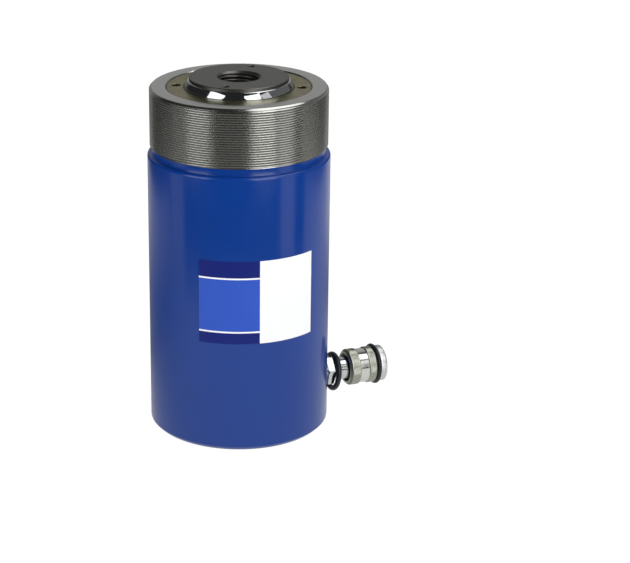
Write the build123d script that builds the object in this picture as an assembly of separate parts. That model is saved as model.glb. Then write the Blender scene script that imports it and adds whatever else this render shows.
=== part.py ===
from build123d import *
from math import cos, radians
import os

# Hollow plunger cylinder: a single-acting, spring-return hydraulic ram with a hole right through it.
# Millimetres. The centre hole runs along Z, the base stands on Z = 0 and the oil port points along +X.

# Radial stack, from the centre hole outwards: the walls and gaps that every diameter is added up from
centre_hole_diameter = 54.0
tube_wall = 7.925
tube_to_plunger_gap = 1.575
plunger_wall = 11.6
spring_room = 13.8
gland_step = 2.6
collar_wall = 14.875
shoulder_width = 2.125
neck_undercut = 2.025

# Base, barrel and oil port
base_thickness = 25.4
base_chamfer = 4.0
shoulder_round = 2.5
stroke = 152.4
port_rise = 7.25
port_thread_diameter = 17.1
port_thread_depth = 15.5
port_engagement_left = 1.0
port_taper = 1 / 16
port_drill = 6.0
bolt_edge = 16.4
bolt_hole_diameter = 10.7
bolt_hole_depth = 14.0
bolt_count = 4

# Threaded collar above the barrel
neck_height = 6.7
collar_thread_length = 53.4
collar_chamfer = 2.0
collar_bore_chamfer = 0.8

# Centre tube and its seal in the base
centre_hole_chamfer = 1.0
tube_lip = 5.0
tube_top_gap = 3.0
tube_seal_height = 14.0
tube_seal_depth = 2.6
tube_oring_width = 3.4
tube_oring_corner = 0.6
tube_backup_width = 1.6

# Gland nut, bearing, wiper and lock screw
gland_height = 45.1
gland_recess = 0.8
gland_chamfer = 0.8
gland_spanner_wall = 0.9
gland_spanner_diameter = 8.2
gland_spanner_depth = 10.0
gland_spanner_angle = -24.3
bearing_height = 18.0
bearing_thickness = 3.0
bearing_foot = 8.0
bearing_corner = 0.4
wiper_height = 7.0
wiper_thickness = 2.4
wiper_lip_thickness = 1.1
wiper_cover = 2.6
wiper_top_drop = 0.1
wiper_foot_relief = 0.8
wiper_foot_relief_drop = 2.0
lock_screw_diameter = 5.0
lock_screw_length = 9.0
lock_screw_angle = 70.0
lock_screw_socket = 2.5
lock_screw_socket_depth = 2.5

# Plunger and threaded insert
plunger_standout = 5.6
plunger_lead_height = 5.5
plunger_lead_inset = 2.8
plunger_spigot_step = 4.1
insert_rim = 3.9
insert_depth = 28.0
insert_standout = 2.6
insert_bevel = 0.5
insert_hole_diameter = 35.0
insert_hole_chamfer = 2.4
insert_spanner_edge = 7.2
insert_spanner_diameter = 5.8
insert_spanner_depth = 8.0
insert_spanner_angle = 52.5

# Piston and its rings
piston_height = 40.0
piston_collar_depth = 20.0
oil_gallery_height = 11.0
oil_gallery_depth = 4.4
piston_seal_foot = 13.0
piston_seal_height = 5.8
piston_seal_depth = 6.0
piston_backup_height = 2.0
wear_ring_foot = 25.0
wear_ring_height = 8.0
wear_ring_depth = 2.5
inner_wear_ring_foot = 2.5
inner_wear_ring_height = 5.0
inner_wear_ring_depth = 2.0
inner_seal_foot = 10.0
inner_seal_height = 4.6
inner_backup_height = 1.8
inner_seal_depth = 4.5
lip_slot_width_share = 0.4
lip_slot_depth_share = 0.45
piston_screw_diameter = 5.0
piston_screw_length = 12.0
piston_screw_bite = 4.0
piston_screw_drop = 3.6

# Return spring
spring_wire = 8.0
spring_turns = 5.5
spring_closed_height = 52.6

# Quick coupler: lengths run out along the port axis, diameters are added up from the neck
coupler_neck_diameter = 21.2
hex_gap = 3.5
hex_length = 6.2
hex_across_flats = 25.4
hex_corner_chamfer = 1.0
hex_turn = 12.0
ring_seat_step = 0.6
ring_seat_length = 6.4
coupler_neck_length = 15.1
neck_groove_width = 0.7
neck_groove_depth = 0.3
neck_groove_place = 7.1
coupler_shoulder_step = 2.6
coupler_shoulder_length = 3.0
nose_length = 11.8
nose_chamfer = 0.8
valve_bore = 11.2
valve_throat = 8.0
valve_throat_length = 3.4
socket_diameter = 13.2
socket_depth = 14.5
socket_seal_place = 6.7
socket_seal_width = 2.4
socket_seal_depth = 1.8
socket_seal_bite = 0.1
snap_ring_width = 0.9
snap_ring_depth = 0.6
snap_ring_standout = 1.5
snap_ring_gap = 4.0

# Sleeve
sleeve_shoulder_gap = 0.8
sleeve_wall = 3.1
sleeve_overhang = 5.3
sleeve_back_chamfer = 2.0
sleeve_front_chamfer = 0.6
sleeve_recess_room = 1.2
sleeve_recess_depth = 4.0
sleeve_lip = 2.3
sleeve_thread_chamfer = 0.8
back_grip_length = 10.7
band_length = 8.2
band_step = 1.1

# Dust cap and the two black rings
cap_step = 0.2
cap_length = 6.6
cap_round = 1.2
cap_dish_rim = 4.9
cap_dish_depth = 1.2
cap_plug_depth = 13.8
cap_plug_wall = 2.4
cap_plug_chamfer = 0.8
cap_hollow_depth = 10.0
cap_ring_wire = 3.6
cap_ring_seat_step = 1.35
tether_ring_wire = 5.1
tether_ring_slack = 4.2
tether_ring_place = 4.0
tether_ring_lean = 6.0

# Poppet valve
poppet_travel = 4.0
poppet_nose_diameter = 6.4
poppet_nose_inset = 8.5
poppet_head_length = 9.1
poppet_tail_diameter = 4.4
poppet_tail_length = 7.0
poppet_tip_round = 1.0
poppet_seal_width = 1.6
poppet_seal_depth = 1.1
poppet_seal_land = 0.3
poppet_seal_bite = 0.1
poppet_wire = 1.1
poppet_spring_turns = 6.5
poppet_spring_length = 18.6
poppet_stop_length = 2.0
poppet_stop_bore = 5.6

# Named clearances
running = 0.06
thread_play = 0.05
seal_play = 0.05
side_play = 0.2
seat_gap = 0.14
loose = 0.3
rod_clearance = 0.25
edge_break = 1.0
fine_break = 0.5
overcut = 1.0
edge_match = 0.01

# Diameters of the stack
tube_diameter = centre_hole_diameter + 2 * tube_wall
plunger_bore = tube_diameter + 2 * tube_to_plunger_gap
plunger_diameter = plunger_bore + 2 * plunger_wall
barrel_bore = plunger_diameter + 2 * spring_room
collar_bore = barrel_bore + 2 * gland_step
collar_thread_diameter = collar_bore + 2 * collar_wall
barrel_diameter = collar_thread_diameter + 2 * shoulder_width
neck_diameter = collar_thread_diameter - 2 * neck_undercut
bolt_circle = barrel_diameter - 2 * bolt_edge
plunger_spigot_diameter = plunger_diameter - 2 * plunger_spigot_step
insert_diameter = plunger_diameter - 2 * insert_rim
gland_spanner_radius = (plunger_diameter + gland_spanner_diameter) / 2 + wiper_thickness + gland_spanner_wall
insert_spanner_radius = insert_diameter / 2 - insert_spanner_edge

# Diameters of the coupler
ring_seat_diameter = coupler_neck_diameter + 2 * ring_seat_step
coupler_shoulder_diameter = coupler_neck_diameter + 2 * coupler_shoulder_step
sleeve_recess_diameter = coupler_neck_diameter + 2 * (snap_ring_standout + sleeve_recess_room)
sleeve_thread_bore = coupler_shoulder_diameter + 2 * sleeve_shoulder_gap
sleeve_diameter = sleeve_thread_bore + 2 * sleeve_wall
band_diameter = sleeve_diameter - 2 * band_step
cap_diameter = sleeve_diameter - 2 * cap_step
cap_dish_diameter = cap_diameter - 2 * cap_dish_rim
cap_ring_seat_diameter = sleeve_thread_bore + 2 * cap_ring_seat_step
tether_ring_bore = ring_seat_diameter + tether_ring_slack

# Heights: the stroke and the closed spring between piston and gland nut set the barrel's length
floor = base_thickness
port_height = base_thickness + port_rise
piston_top = floor + piston_height
spigot_foot = floor + piston_collar_depth
gland_bottom = piston_top + stroke + spring_closed_height
gland_top = gland_bottom + gland_height
collar_top = gland_top + gland_recess
neck_top = collar_top - collar_thread_length
barrel_height = neck_top - neck_height
plunger_top = collar_top + plunger_standout
insert_bottom = plunger_top - insert_depth
insert_top = plunger_top + insert_standout
tube_top = insert_bottom - tube_top_gap

barrel_radius = barrel_diameter / 2
bore_radius = barrel_bore / 2
hole_radius = centre_hole_diameter / 2
tube_radius = tube_diameter / 2
plunger_radius = plunger_diameter / 2
piston_radius = bore_radius - running
piston_bore_radius = tube_radius + running
spigot_radius = plunger_spigot_diameter / 2
collar_bore_radius = collar_bore / 2

shank_end = barrel_radius - port_thread_depth + port_engagement_left
hex_start = barrel_radius + hex_gap
hex_end = hex_start + hex_length
seat_end = hex_end + ring_seat_length
shoulder_start = seat_end + coupler_neck_length
shoulder_end = shoulder_start + coupler_shoulder_length
nose_end = shoulder_end + nose_length
lip_end = shoulder_start - side_play
lip_start = lip_end - sleeve_lip
sleeve_start = lip_start - sleeve_recess_depth
sleeve_end = nose_end + sleeve_overhang
socket_end = nose_end - socket_depth
throat_start = socket_end - valve_throat_length
valve_cone = (valve_bore - valve_throat) / 2
cone_start = throat_start - valve_cone
cap_ring_place = sleeve_end + loose / 2 + cap_ring_wire / 2
cap_start = cap_ring_place + cap_ring_wire / 2 + seal_play
cap_end = cap_start + cap_length
head_start = cone_start - poppet_head_length
spring_end = head_start - poppet_spring_length
stop_face = spring_end - poppet_travel - loose


def turned(*outline):
    """Solid of revolution about Z from an outline of (radius, height) points."""
    return revolve(Plane.XZ * make_face(Polyline(*outline, close=True)), Axis.Z)


def ring(inner, outer, bottom, top, break_edge=0.0):
    """Plain ring of two radii, with all four edges broken by the same small chamfer."""
    b = break_edge
    if b == 0:
        return turned((inner, bottom), (outer, bottom), (outer, top), (inner, top))
    return turned(
        (inner + b, bottom), (outer - b, bottom), (outer, bottom + b), (outer, top - b),
        (outer - b, top), (inner + b, top), (inner, top - b), (inner, bottom + b),
    )


def bar(radius, bottom, top):
    """Solid round bar about Z."""
    return Pos(0, 0, bottom) * Cylinder(radius, top - bottom, align=(Align.CENTER, Align.CENTER, Align.MIN))


def about(angle, radius, height=0.0):
    """Place at a radius and an angle about Z."""
    return Rot(0, 0, angle) * Pos(radius, 0, height)


def on_port(solid):
    """Lay a piece modelled about Z along the port axis: its height becomes the distance from the centre."""
    return Pos(0, 0, port_height) * Rot(0, 90, 0) * solid


def round_edges(solid, radius):
    """Circular edges of one radius."""
    return solid.edges().filter_by(GeomType.CIRCLE).filter_by(lambda e: abs(e.radius - radius) < edge_match)


def coil(mean_radius, wire, length, turns):
    """Round-wire coil spring standing on Z = 0, both ends ground flat."""
    path = Helix(pitch=length / turns, height=length, radius=mean_radius)
    section = Plane(origin=path @ 0, z_dir=path % 0) * Circle(wire / 2)
    wire_solid = sweep(section, path=path)
    slab = Pos(0, 0, length / 2) * Box(4 * mean_radius, 4 * mean_radius, length)
    return wire_solid & slab


def save(name, solid):
    """Write one sub-part."""
    solid = solid if isinstance(solid, (Part, Compound)) else Part() + solid
    export_step(solid, f"parts/{name}.step")


def cylinder_body():
    """Base, barrel, neck and collar in one piece, bored, ported and tapped."""
    neck = neck_diameter / 2
    collar = collar_thread_diameter / 2
    outer = turned(
        (0, 0), (barrel_radius - base_chamfer, 0), (barrel_radius, base_chamfer),
        (barrel_radius, barrel_height), (neck, barrel_height), (neck, neck_top),
        (collar - collar_chamfer / 2, neck_top), (collar, neck_top + collar_chamfer / 2),
        (collar, collar_top - collar_chamfer), (collar - collar_chamfer, collar_top), (0, collar_top),
    )
    top_edge = round_edges(outer, barrel_radius).sort_by(Axis.Z)[-1]
    outer = fillet(top_edge, shoulder_round)
    inner = turned(
        (0, -overcut), (hole_radius + centre_hole_chamfer + overcut, -overcut),
        (hole_radius, centre_hole_chamfer),
        (hole_radius, tube_lip), (tube_radius, tube_lip), (tube_radius, floor), (bore_radius, floor),
        (bore_radius, gland_bottom), (collar_bore_radius, gland_bottom),
        (collar_bore_radius, collar_top - collar_bore_chamfer),
        (collar_bore_radius + collar_bore_chamfer + overcut, collar_top + overcut),
        (0, collar_top + overcut),
    )
    seal_groove = ring(
        tube_radius - overcut, tube_radius + tube_seal_depth, tube_seal_height,
        tube_seal_height + tube_oring_width + tube_backup_width)
    body = outer - inner - seal_groove
    mouth = port_thread_diameter / 2
    thread_foot = barrel_radius - port_thread_depth
    port = turned(
        (0, bore_radius - 3 * overcut), (port_drill / 2, bore_radius - 3 * overcut),
        (port_drill / 2, thread_foot),
        (mouth - port_thread_depth * port_taper / 2, thread_foot), (mouth, barrel_radius),
        (mouth, barrel_radius + overcut), (0, barrel_radius + overcut),
    )
    body -= on_port(port)
    tip = bolt_hole_diameter / 4
    bolt_hole = turned(
        (0, -overcut), (bolt_hole_diameter / 2, -overcut), (bolt_hole_diameter / 2, bolt_hole_depth),
        (0, bolt_hole_depth + tip),
    )
    for k in range(bolt_count):
        body -= about(360 / bolt_count * (k + 0.5), bolt_circle / 2) * bolt_hole
    body -= about(lock_screw_angle, collar_bore_radius) * lock_screw_hole()
    return body


def lock_screw_hole():
    """Axial hole on the joint line of gland nut and collar."""
    depth = lock_screw_length + lock_screw_diameter / 2
    return bar(lock_screw_diameter / 2, gland_top - depth, collar_top + overcut)


def gland_lock_screw():
    """Grub screw with a hexagon socket, down the joint line of gland nut and collar."""
    top = gland_top - loose
    screw = bar(lock_screw_diameter / 2 - thread_play, top - lock_screw_length, top)
    socket = RegularPolygon(lock_screw_socket / 2, 6, major_radius=False)
    screw -= Pos(0, 0, top - lock_screw_socket_depth) * extrude(socket, lock_screw_socket_depth + overcut)
    return about(lock_screw_angle, collar_bore_radius) * screw


def centre_tube():
    """Fixed tube that lines the centre hole and guides the piston."""
    return ring(hole_radius, tube_radius - thread_play, tube_lip, tube_top, centre_hole_chamfer)


def centre_tube_seals():
    """O-ring and backup ring round the foot of the centre tube."""
    inner = tube_radius
    outer = tube_radius + tube_seal_depth - seal_play
    joint = tube_seal_height + tube_oring_width
    oring = ring(inner, outer, tube_seal_height + seal_play, joint, tube_oring_corner)
    backup = ring(inner, outer, joint + seal_play, joint + tube_backup_width - seal_play)
    return oring, backup


def gland_nut():
    """Ring nut that closes the barrel and carries the bearing and the wiper."""
    inner = plunger_radius + rod_clearance
    outer = collar_bore_radius - thread_play
    lip = plunger_radius + wiper_lip_thickness + seal_play
    wiper_seat = plunger_radius + wiper_thickness
    wiper_foot = gland_top - wiper_cover - wiper_height
    nut = turned(
        (inner, gland_bottom), (outer - gland_chamfer, gland_bottom), (outer, gland_bottom + gland_chamfer),
        (outer, gland_top - gland_chamfer), (outer - gland_chamfer, gland_top), (lip, gland_top),
        (lip, gland_top - wiper_cover), (wiper_seat, gland_top - wiper_cover), (wiper_seat, wiper_foot),
        (inner, wiper_foot),
    )
    bearing_seat = gland_bottom + bearing_foot
    nut -= ring(
        plunger_radius, plunger_radius + bearing_thickness, bearing_seat, bearing_seat + bearing_height)
    spanner = bar(gland_spanner_diameter / 2, gland_top - gland_spanner_depth, gland_top + overcut)
    for turn in (0, 180):
        nut -= about(gland_spanner_angle + turn, gland_spanner_radius) * spanner
    return nut - about(lock_screw_angle, collar_bore_radius) * lock_screw_hole()


def rod_bearing():
    """Bronze bush in the gland nut, a running fit on the plunger."""
    foot = gland_bottom + bearing_foot
    return ring(
        plunger_radius + running, plunger_radius + bearing_thickness - seal_play / 2,
        foot + seal_play, foot + bearing_height - seal_play, bearing_corner)


def rod_wiper():
    """Scraper ring whose lip comes up to the gland nut's top face."""
    inner = plunger_radius + running
    lip = plunger_radius + wiper_lip_thickness
    outer = plunger_radius + wiper_thickness - seal_play
    top = gland_top - wiper_top_drop
    shelf = gland_top - wiper_cover - seal_play
    foot = gland_top - wiper_cover - wiper_height + seal_play
    return turned(
        (inner + wiper_foot_relief, foot), (outer, foot), (outer, shelf), (lip, shelf), (lip, top),
        (inner, top), (inner, shelf), (inner + wiper_foot_relief, shelf - wiper_foot_relief_drop),
    )


def plunger():
    """Hollow chromed ram with a tapered lead-in, a counterbore for the insert and a spigot for the piston."""
    counterbore = insert_diameter / 2 + thread_play
    rim = plunger_radius - plunger_lead_inset
    foot = spigot_foot + thread_play
    return turned(
        (plunger_bore / 2, foot), (spigot_radius - edge_break, foot),
        (spigot_radius, spigot_foot + edge_break), (spigot_radius, piston_top),
        (plunger_radius - edge_break, piston_top), (plunger_radius, piston_top + edge_break),
        (plunger_radius, plunger_top - plunger_lead_height),
        (rim, plunger_top), (counterbore, plunger_top), (counterbore, insert_bottom),
        (plunger_bore / 2, insert_bottom),
    ) - piston_screw_hole()


def piston_screw_hole():
    """Radial hole through the piston's collar into the plunger's spigot."""
    height = piston_top - piston_screw_drop
    inner = spigot_radius - piston_screw_bite
    hole = bar(piston_screw_diameter / 2, inner, bore_radius + overcut)
    return Pos(0, 0, height) * Rot(0, 90, 0) * hole


def piston_lock_screw():
    """Grub screw that keeps the piston from turning on the plunger."""
    inner = spigot_radius - piston_screw_bite + thread_play
    screw = bar(piston_screw_diameter / 2 - thread_play, inner, inner + piston_screw_length)
    return Pos(0, 0, piston_top - piston_screw_drop) * Rot(0, 90, 0) * screw


def piston():
    """Ring screwed on the plunger's foot, grooved outside for the bore and inside for the centre tube."""
    gallery = bore_radius - oil_gallery_depth
    blank = turned(
        (piston_bore_radius, floor), (gallery, floor), (gallery, floor + oil_gallery_height),
        (piston_radius, floor + oil_gallery_height + fine_break), (piston_radius, piston_top - fine_break),
        (piston_radius - fine_break, piston_top), (spigot_radius + thread_play, piston_top),
        (spigot_radius + thread_play, spigot_foot), (piston_bore_radius, spigot_foot),
    )
    seal_foot = floor + piston_seal_foot
    blank -= ring(
        bore_radius - piston_seal_depth, bore_radius + overcut,
        seal_foot, seal_foot + piston_seal_height + piston_backup_height)
    wear_foot = floor + wear_ring_foot
    blank -= ring(
        bore_radius - wear_ring_depth, bore_radius + overcut, wear_foot, wear_foot + wear_ring_height)
    inner_wear_foot = floor + inner_wear_ring_foot
    blank -= ring(
        tube_radius - overcut, tube_radius + inner_wear_ring_depth,
        inner_wear_foot, inner_wear_foot + inner_wear_ring_height)
    inner_foot = floor + inner_seal_foot
    blank -= ring(
        tube_radius - overcut, tube_radius + inner_seal_depth,
        inner_foot, inner_foot + inner_seal_height + inner_backup_height)
    return blank - piston_screw_hole()


def cup_seal(root, lip, bottom, height):
    """U-shaped lip seal between two radii, open downwards to the oil."""
    thick = abs(lip - root)
    inner, outer = min(root, lip), max(root, lip)
    slot = thick * lip_slot_width_share / 2
    middle = (inner + outer) / 2
    return turned(
        (inner, bottom), (middle - slot, bottom), (middle, bottom + height * lip_slot_depth_share),
        (middle + slot, bottom), (outer, bottom), (outer, bottom + height), (inner, bottom + height),
    )


def piston_rings():
    """Cup seals, backup rings and wear rings outside and inside the piston."""
    outer_root = bore_radius - piston_seal_depth + seal_play
    outer_lip = bore_radius - running
    seal_foot = floor + piston_seal_foot
    seal_top = seal_foot + piston_seal_height
    wear_foot = floor + wear_ring_foot
    inner_root = tube_radius + inner_seal_depth - seal_play
    inner_lip = tube_radius + running
    inner_foot = floor + inner_seal_foot
    inner_top = inner_foot + inner_seal_height
    inner_wear_foot = floor + inner_wear_ring_foot
    return {
        "piston_seal": cup_seal(outer_root, outer_lip, seal_foot + seal_play, piston_seal_height - seal_play),
        "piston_backup": ring(
            outer_root, outer_lip, seal_top + seal_play, seal_top + piston_backup_height - seal_play),
        "piston_wear_ring": ring(
            bore_radius - wear_ring_depth + seal_play, outer_lip,
            wear_foot + seal_play, wear_foot + wear_ring_height - seal_play),
        "piston_inner_seal": cup_seal(
            inner_root, inner_lip, inner_foot + seal_play, inner_seal_height - seal_play),
        "piston_inner_backup": ring(
            inner_lip, inner_root, inner_top + seal_play, inner_top + inner_backup_height - seal_play),
        "piston_inner_wear_ring": ring(
            inner_lip, tube_radius + inner_wear_ring_depth - seal_play,
            inner_wear_foot + seal_play, inner_wear_foot + inner_wear_ring_height - seal_play),
    }


def saddle_insert():
    """Insert screwed into the plunger, with the threaded centre hole and two spanner holes."""
    outer = insert_diameter / 2
    hole = insert_hole_diameter / 2
    insert = turned(
        (hole + edge_break, insert_bottom), (outer - edge_break, insert_bottom),
        (outer, insert_bottom + edge_break),
        (outer, insert_top - insert_bevel), (outer - insert_bevel, insert_top),
        (hole + insert_hole_chamfer, insert_top), (hole, insert_top - insert_hole_chamfer),
        (hole, insert_bottom + edge_break),
    )
    spanner = bar(insert_spanner_diameter / 2, insert_top - insert_spanner_depth, insert_top + overcut)
    for turn in (0, 180):
        insert -= about(insert_spanner_angle + turn, insert_spanner_radius) * spanner
    return insert


def return_spring():
    """Coil between the piston and the gland nut, round the plunger."""
    mean_radius = (plunger_radius + bore_radius) / 2
    return Pos(0, 0, piston_top) * coil(mean_radius, spring_wire, gland_bottom - piston_top, spring_turns)


def coupler_body():
    """Half coupler in one piece: pipe shank, hexagon, ring seat, neck, shoulder and nose."""
    neck = coupler_neck_diameter / 2
    seat = ring_seat_diameter / 2
    mouth = port_thread_diameter / 2 - thread_play
    groove = seat_end + neck_groove_place
    ring_groove = lip_start - side_play / 2 - snap_ring_width
    outer = turned(
        (0, shank_end), (mouth - (barrel_radius - shank_end) * port_taper / 2, shank_end),
        (mouth, barrel_radius), (mouth, hex_start), (seat, hex_start), (seat, seat_end),
        (neck, seat_end), (neck, groove), (neck - neck_groove_depth, groove),
        (neck - neck_groove_depth, groove + neck_groove_width), (neck, groove + neck_groove_width),
        (neck, ring_groove), (neck - snap_ring_depth, ring_groove),
        (neck - snap_ring_depth, ring_groove + snap_ring_width), (neck, ring_groove + snap_ring_width),
        (neck, shoulder_start), (coupler_shoulder_diameter / 2, shoulder_start),
        (coupler_shoulder_diameter / 2, shoulder_end), (neck, shoulder_end),
        (neck, nose_end - nose_chamfer), (neck - nose_chamfer, nose_end), (0, nose_end),
    )
    flats = RegularPolygon(hex_across_flats / 2, 6, major_radius=False, rotation=30 - hex_turn)
    hexagon = Pos(0, 0, hex_start) * extrude(flats, hex_length)
    corner = hex_across_flats / 2 / cos(radians(30))
    cone = turned(
        (0, hex_start), (corner - hex_corner_chamfer, hex_start),
        (corner, hex_start + hex_corner_chamfer / 2), (corner, hex_end - hex_corner_chamfer / 2),
        (corner - hex_corner_chamfer, hex_end), (0, hex_end),
    )
    bore = valve_bore / 2
    socket = socket_diameter / 2
    seal_place = nose_end - socket_seal_place
    inner = turned(
        (0, shank_end - overcut), (bore, shank_end - overcut), (bore, cone_start),
        (valve_throat / 2, throat_start), (valve_throat / 2, socket_end), (socket, socket_end),
        (socket, seal_place - socket_seal_width / 2),
        (socket + socket_seal_depth, seal_place - socket_seal_width / 2),
        (socket + socket_seal_depth, seal_place + socket_seal_width / 2),
        (socket, seal_place + socket_seal_width / 2), (socket, nose_end - nose_chamfer),
        (socket + nose_chamfer + overcut, nose_end + overcut), (0, nose_end + overcut),
    )
    return on_port(outer + (hexagon & cone) - inner)


def socket_seal():
    """O-ring in the socket's groove."""
    inner = socket_diameter / 2 - socket_seal_bite
    outer = socket_diameter / 2 + socket_seal_depth - seal_play
    place = nose_end - socket_seal_place
    half = socket_seal_width / 2 - seal_play
    return on_port(ring(inner, outer, place - half, place + half, half * 0.45))


def coupler_snap_ring():
    """Open ring in the neck's groove that keeps the sleeve from sliding back."""
    neck = coupler_neck_diameter / 2
    start = lip_start - side_play / 2 - snap_ring_width + seal_play
    body = ring(
        neck - snap_ring_depth + seal_play, neck + snap_ring_standout,
        start, start + snap_ring_width - 2 * seal_play)
    opening = about(180, neck) * Pos(0, 0, start) * Box(neck, snap_ring_gap, neck)
    return on_port(body - opening)


def coupler_sleeve():
    """Threaded sleeve that spins on the neck: two gripping bands with a smooth band between them."""
    outer = sleeve_diameter / 2
    band = band_diameter / 2
    recess = sleeve_recess_diameter / 2
    lip = coupler_neck_diameter / 2 + loose
    thread = sleeve_thread_bore / 2
    band_start = sleeve_start + back_grip_length
    band_end = band_start + band_length
    step = outer - band
    return on_port(turned(
        (recess, sleeve_start), (outer - sleeve_back_chamfer, sleeve_start),
        (outer, sleeve_start + sleeve_back_chamfer), (outer, band_start - step / 2), (band, band_start),
        (band, band_end), (outer, band_end + step / 2), (outer, sleeve_end - sleeve_front_chamfer),
        (outer - sleeve_front_chamfer, sleeve_end), (thread + sleeve_thread_chamfer, sleeve_end),
        (thread, sleeve_end - sleeve_thread_chamfer), (thread, lip_end), (lip, lip_end),
        (lip, lip_start), (recess, lip_start),
    ))


def dust_cap():
    """Push-in cap: a cup that fits between sleeve and nose, a ring seat and a rounded flange."""
    outer = cap_diameter / 2
    plug = sleeve_thread_bore / 2 - loose
    hollow = plug - cap_plug_wall
    seat = cap_ring_seat_diameter / 2
    seat_start = sleeve_end + loose / 2
    plug_start = sleeve_end - cap_plug_depth
    dish = cap_dish_diameter / 2
    body = turned(
        (hollow, plug_start), (plug - cap_plug_chamfer, plug_start), (plug, plug_start + cap_plug_chamfer),
        (plug, seat_start),
        (seat, seat_start), (seat, cap_start), (outer, cap_start), (outer, cap_end),
        (dish, cap_end), (dish - cap_dish_depth, cap_end - cap_dish_depth), (0, cap_end - cap_dish_depth),
        (0, plug_start + cap_hollow_depth), (hollow, plug_start + cap_hollow_depth),
    )
    return on_port(fillet(round_edges(body, outer), cap_round))


def dust_cap_ring():
    """Rubber ring in front of the sleeve, seated on the cap."""
    mean = cap_ring_seat_diameter / 2 + seal_play + cap_ring_wire / 2
    return on_port(Pos(0, 0, cap_ring_place) * Torus(mean, cap_ring_wire / 2))


def tether_ring():
    """Loose rubber ring that hangs on the seat between hexagon and neck, with its foot over the hexagon."""
    mean = tether_ring_bore / 2 + tether_ring_wire / 2
    top = -ring_seat_diameter / 2 - seal_play - tether_ring_wire / 2
    hung = Rot(0, tether_ring_lean, 0) * Pos(mean, 0, 0) * Torus(mean, tether_ring_wire / 2)
    return on_port(Pos(top, 0, hex_end + tether_ring_place) * hung)


def poppet_cone_foot(head):
    """Where the cone of the poppet's head starts, a small gap short of its seat."""
    return cone_start + valve_bore / 2 - head - seat_gap


def coupler_poppet():
    """Valve poppet with a coned head, a nose that reaches into the socket and a tail in the spring."""
    head = valve_bore / 2 - rod_clearance
    nose = poppet_nose_diameter / 2
    tail = poppet_tail_diameter / 2
    cone_foot = poppet_cone_foot(head)
    tip = nose_end - poppet_nose_inset
    groove = cone_foot - poppet_seal_width - poppet_seal_land
    root = head - poppet_seal_depth
    return on_port(turned(
        (0, head_start - poppet_tail_length), (tail, head_start - poppet_tail_length), (tail, head_start),
        (head, head_start), (head, groove), (root, groove), (root, groove + poppet_seal_width),
        (head, groove + poppet_seal_width), (head, cone_foot), (nose, cone_foot + head - nose),
        (nose, tip - poppet_tip_round), (nose - poppet_tip_round, tip), (0, tip),
    ))


def poppet_seal():
    """Ring seal in the poppet's head, next to its cone."""
    head = valve_bore / 2 - rod_clearance
    groove = poppet_cone_foot(head) - poppet_seal_width - poppet_seal_land
    return on_port(ring(
        head - poppet_seal_depth + seal_play, head + poppet_seal_bite,
        groove + seal_play, groove + poppet_seal_width - seal_play, loose))


def poppet_spring():
    """Coil behind the poppet's head, round its tail."""
    mean = (valve_bore / 2 + poppet_tail_diameter / 2) / 2
    return on_port(Pos(0, 0, spring_end) * coil(mean, poppet_wire, poppet_spring_length, poppet_spring_turns))


def poppet_stop():
    """Pierced stop pressed into the shank, which the spring bears on."""
    return on_port(ring(
        poppet_stop_bore / 2, valve_bore / 2 - seal_play / 2, stop_face - poppet_stop_length, stop_face))


def main():
    """Build every sub-part and write it to the parts folder."""
    os.makedirs("parts", exist_ok=True)
    oring, backup = centre_tube_seals()
    pieces = {
        "cylinder_body": cylinder_body(),
        "centre_tube": centre_tube(),
        "centre_tube_oring": oring,
        "centre_tube_backup": backup,
        "gland_nut": gland_nut(),
        "gland_lock_screw": gland_lock_screw(),
        "rod_bearing": rod_bearing(),
        "rod_wiper": rod_wiper(),
        "return_spring": return_spring(),
        "plunger": plunger(),
        "piston": piston(),
        "piston_lock_screw": piston_lock_screw(),
        "saddle_insert": saddle_insert(),
        "coupler_body": coupler_body(),
        "coupler_snap_ring": coupler_snap_ring(),
        "socket_seal": socket_seal(),
        "poppet_stop": poppet_stop(),
        "coupler_sleeve": coupler_sleeve(),
        "coupler_poppet": coupler_poppet(),
        "poppet_seal": poppet_seal(),
        "poppet_spring": poppet_spring(),
        "dust_cap": dust_cap(),
        "dust_cap_ring": dust_cap_ring(),
        "tether_ring": tether_ring(),
    }
    pieces.update(piston_rings())
    for name, solid in pieces.items():
        save(name, solid)


main()
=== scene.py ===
"""Looks of a hollow plunger cylinder: enamelled barrel, threaded collar, chromed plunger, quick coupler.

All lengths are metres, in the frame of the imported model: +Z up the centre hole, +X out of the oil port.
"""

import logging
import math
from collections.abc import Callable, Iterable
from dataclasses import dataclass
from enum import Enum
from functools import partial

import bmesh
import bpy
from mathutils import Matrix, Vector


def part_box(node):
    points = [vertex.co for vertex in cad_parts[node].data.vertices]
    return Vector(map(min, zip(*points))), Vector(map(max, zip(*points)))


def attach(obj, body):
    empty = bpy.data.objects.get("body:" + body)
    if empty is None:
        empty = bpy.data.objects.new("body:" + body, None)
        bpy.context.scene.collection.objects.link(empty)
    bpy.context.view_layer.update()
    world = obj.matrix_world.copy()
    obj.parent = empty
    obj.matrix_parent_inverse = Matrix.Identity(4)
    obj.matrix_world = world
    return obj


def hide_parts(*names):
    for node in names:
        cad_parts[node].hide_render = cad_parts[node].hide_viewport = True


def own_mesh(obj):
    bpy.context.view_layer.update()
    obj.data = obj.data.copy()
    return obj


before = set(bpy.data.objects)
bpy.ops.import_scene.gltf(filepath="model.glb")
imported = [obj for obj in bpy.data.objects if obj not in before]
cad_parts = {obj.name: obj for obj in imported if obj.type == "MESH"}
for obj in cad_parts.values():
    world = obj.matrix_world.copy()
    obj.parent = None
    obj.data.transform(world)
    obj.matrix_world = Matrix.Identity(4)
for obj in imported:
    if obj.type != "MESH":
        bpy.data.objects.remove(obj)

MM = 0.001
INCH = 25.4 * MM
TURN = 2 * math.pi
BIG_ROUND = 256
SMALL_ROUND = 112
HOLE_ROUND = 48
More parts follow.
